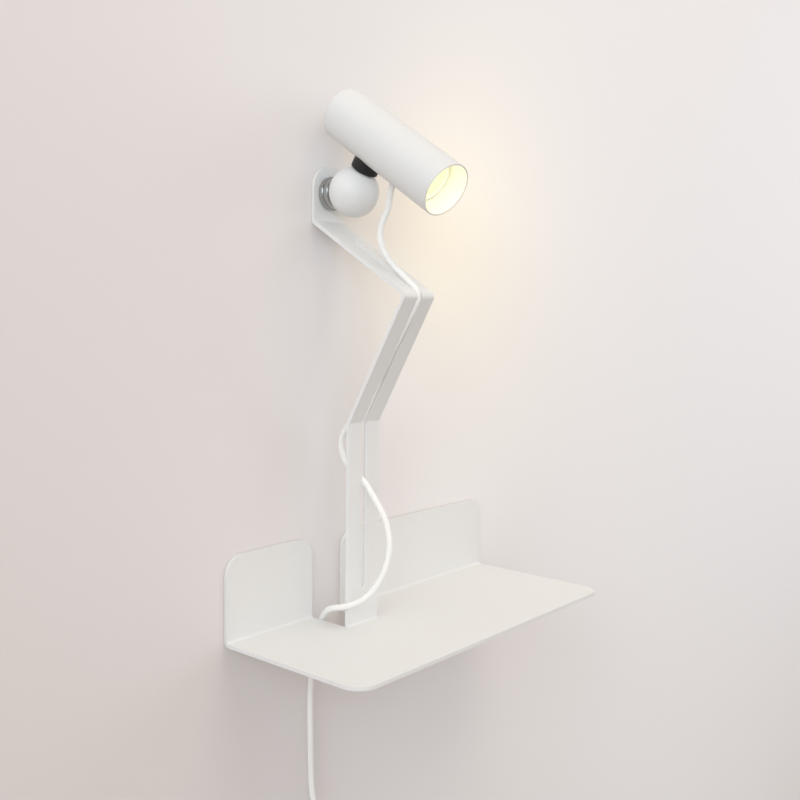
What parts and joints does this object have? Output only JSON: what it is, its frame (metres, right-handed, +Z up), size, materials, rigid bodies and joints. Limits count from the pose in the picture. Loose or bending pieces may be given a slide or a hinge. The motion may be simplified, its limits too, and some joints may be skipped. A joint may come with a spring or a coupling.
{
  "type": "wall light with shelf",
  "caption": "White folded-steel wall shelf with a slotted zigzag arm and a tube spotlight that swivels on a magnetic ball joint, fed by a white plug-in cord with an inline switch.",
  "frame": {"origin": "centre of the wall screw's bore at the wall, on the back face of the arm's top tab", "axes": "+Z up, +X to the right along the wall as seen from the room, +Y into the wall, so the light stands out towards -Y"},
  "size_m": [0.35, 0.15, 0.8582],
  "materials": {
    "white_steel": "matte",
    "white_aluminium": "matte",
    "turned_chrome": "polished",
    "black_steel": "satin",
    "nickel": "satin",
    "zinc_steel": "satin",
    "liner": "matte",
    "bulb_shell": "gloss",
    "bulb_glass": "matte",
    "ceramic": "matte",
    "white_plastic": "satin",
    "white_cord": "matte",
    "cord_tie": "matte",
    "live_wire": "satin",
    "neutral_wire": "satin"
  },
  "bodies": {
    "bracket": {"shelf_bracket": "white_steel", "wall_base": "turned_chrome", "lock_ring": "turned_chrome", "cord_lamp": "white_cord", "cord_arm": "white_cord", "cord_loop": "white_cord", "cord_lead": "white_cord", "cord_coil": "white_cord", "cord_tie": "cord_tie", "switch_base": "white_plastic", "switch_cover": "white_plastic", "switch_screws": "zinc_steel", "plug_relief": "white_plastic", "plug_body": "white_plastic", "plug_pins": "nickel"},
    "ball": {"ball": "white_steel"},
    "magnet_pad": {"cup_magnet": "nickel", "cup_liner": "liner"},
    "spotlight": {"magnet_cup": "black_steel", "cup_screw": "zinc_steel", "saddle_nut": "zinc_steel", "lamp_tube": "white_aluminium", "bulb_body": "bulb_shell", "bulb_lens": "bulb_glass", "bulb_pins": "nickel", "bulb_ring": "white_plastic", "lampholder": "ceramic", "holder_plate": "zinc_steel", "holder_screws": "zinc_steel", "terminal_block": "white_plastic", "terminal_screws": "zinc_steel", "live_wire": "live_wire", "neutral_wire": "neutral_wire", "cord_bush": "white_plastic", "cord_inlet": "white_cord", "cord_stop": "zinc_steel"},
    "rocker": {"switch_rocker": "white_plastic"}
  },
  "joints": [
    {"name": "ball_roll", "type": "hinge", "parent": "bracket", "child": "ball", "pos_m": [0, -0.0314, 0], "axis": [0, 1, 0], "range_deg": [-20, 20], "deforming": ["cord_lamp"]},
    {"name": "lamp_tilt", "type": "hinge", "parent": "ball", "child": "magnet_pad", "pos_m": [0, -0.0314, 0], "axis": [1, 0, 0], "range_deg": [-6, 25], "deforming": ["cord_lamp"]},
    {"name": "lamp_spin", "type": "hinge", "parent": "magnet_pad", "child": "spotlight", "pos_m": [0, -0.0314, 0], "axis": [0, -0.5432, 0.8396], "range_deg": [-45, 45], "deforming": ["cord_lamp"]},
    {"name": "switch_rock", "type": "hinge", "parent": "bracket", "child": "rocker", "pos_m": [-0.02, -0.0159, -0.587], "axis": [1, 0, 0], "range_deg": [-16, 0]}
  ]
}
